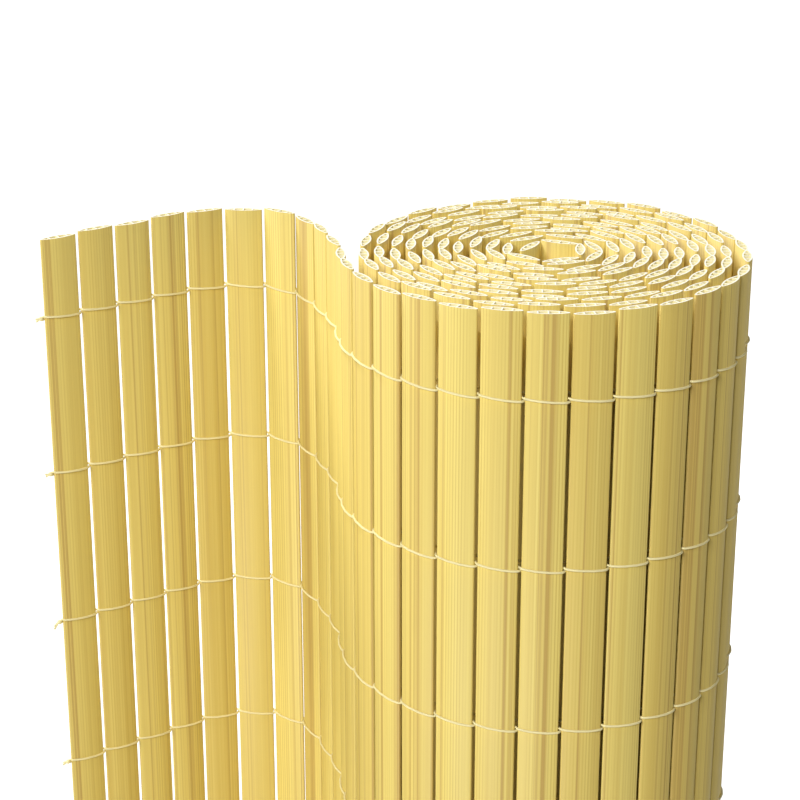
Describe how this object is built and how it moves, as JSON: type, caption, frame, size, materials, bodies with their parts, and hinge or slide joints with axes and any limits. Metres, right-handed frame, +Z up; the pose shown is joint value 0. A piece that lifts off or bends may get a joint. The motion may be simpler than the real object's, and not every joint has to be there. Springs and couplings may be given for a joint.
{
  "type": "pvc privacy screen mat",
  "caption": "Rolled-up privacy screen mat of hollow plastic slats bound with rows of cord, standing on end with its free end swung out in an S bend.",
  "frame": {"origin": "on the floor, under the middle of the standing mat's bounding box", "axes": "+Z up along the slats, +X to the right as the picture shows it, +Y away from the viewer"},
  "size_m": [0.2566, 0.1444, 0.8],
  "materials": {
    "slat": "bamboo-coloured extruded PVC with fine streaks along the slat",
    "cord": "pale twisted synthetic twine"
  },
  "bodies": {
    "root": {"slats_free_end": "slat", "slats_turn_01": "slat", "slats_turn_02": "slat", "slats_turn_03": "slat", "slats_turn_04": "slat", "slats_turn_05": "slat", "slats_turn_06": "slat", "slats_turn_07": "slat", "slats_turn_08": "slat", "slats_turn_09": "slat", "slats_turn_10": "slat", "slats_turn_11": "slat", "binding_cord_01": "cord", "binding_cord_02": "cord", "binding_cord_03": "cord", "binding_cord_04": "cord", "binding_cord_05": "cord", "binding_cord_06": "cord", "binding_cord_07": "cord", "binding_cord_08": "cord", "binding_cord_09": "cord", "binding_cord_10": "cord", "binding_cord_11": "cord", "binding_cord_12": "cord", "binding_cord_13": "cord"}
  },
  "joints": []
}
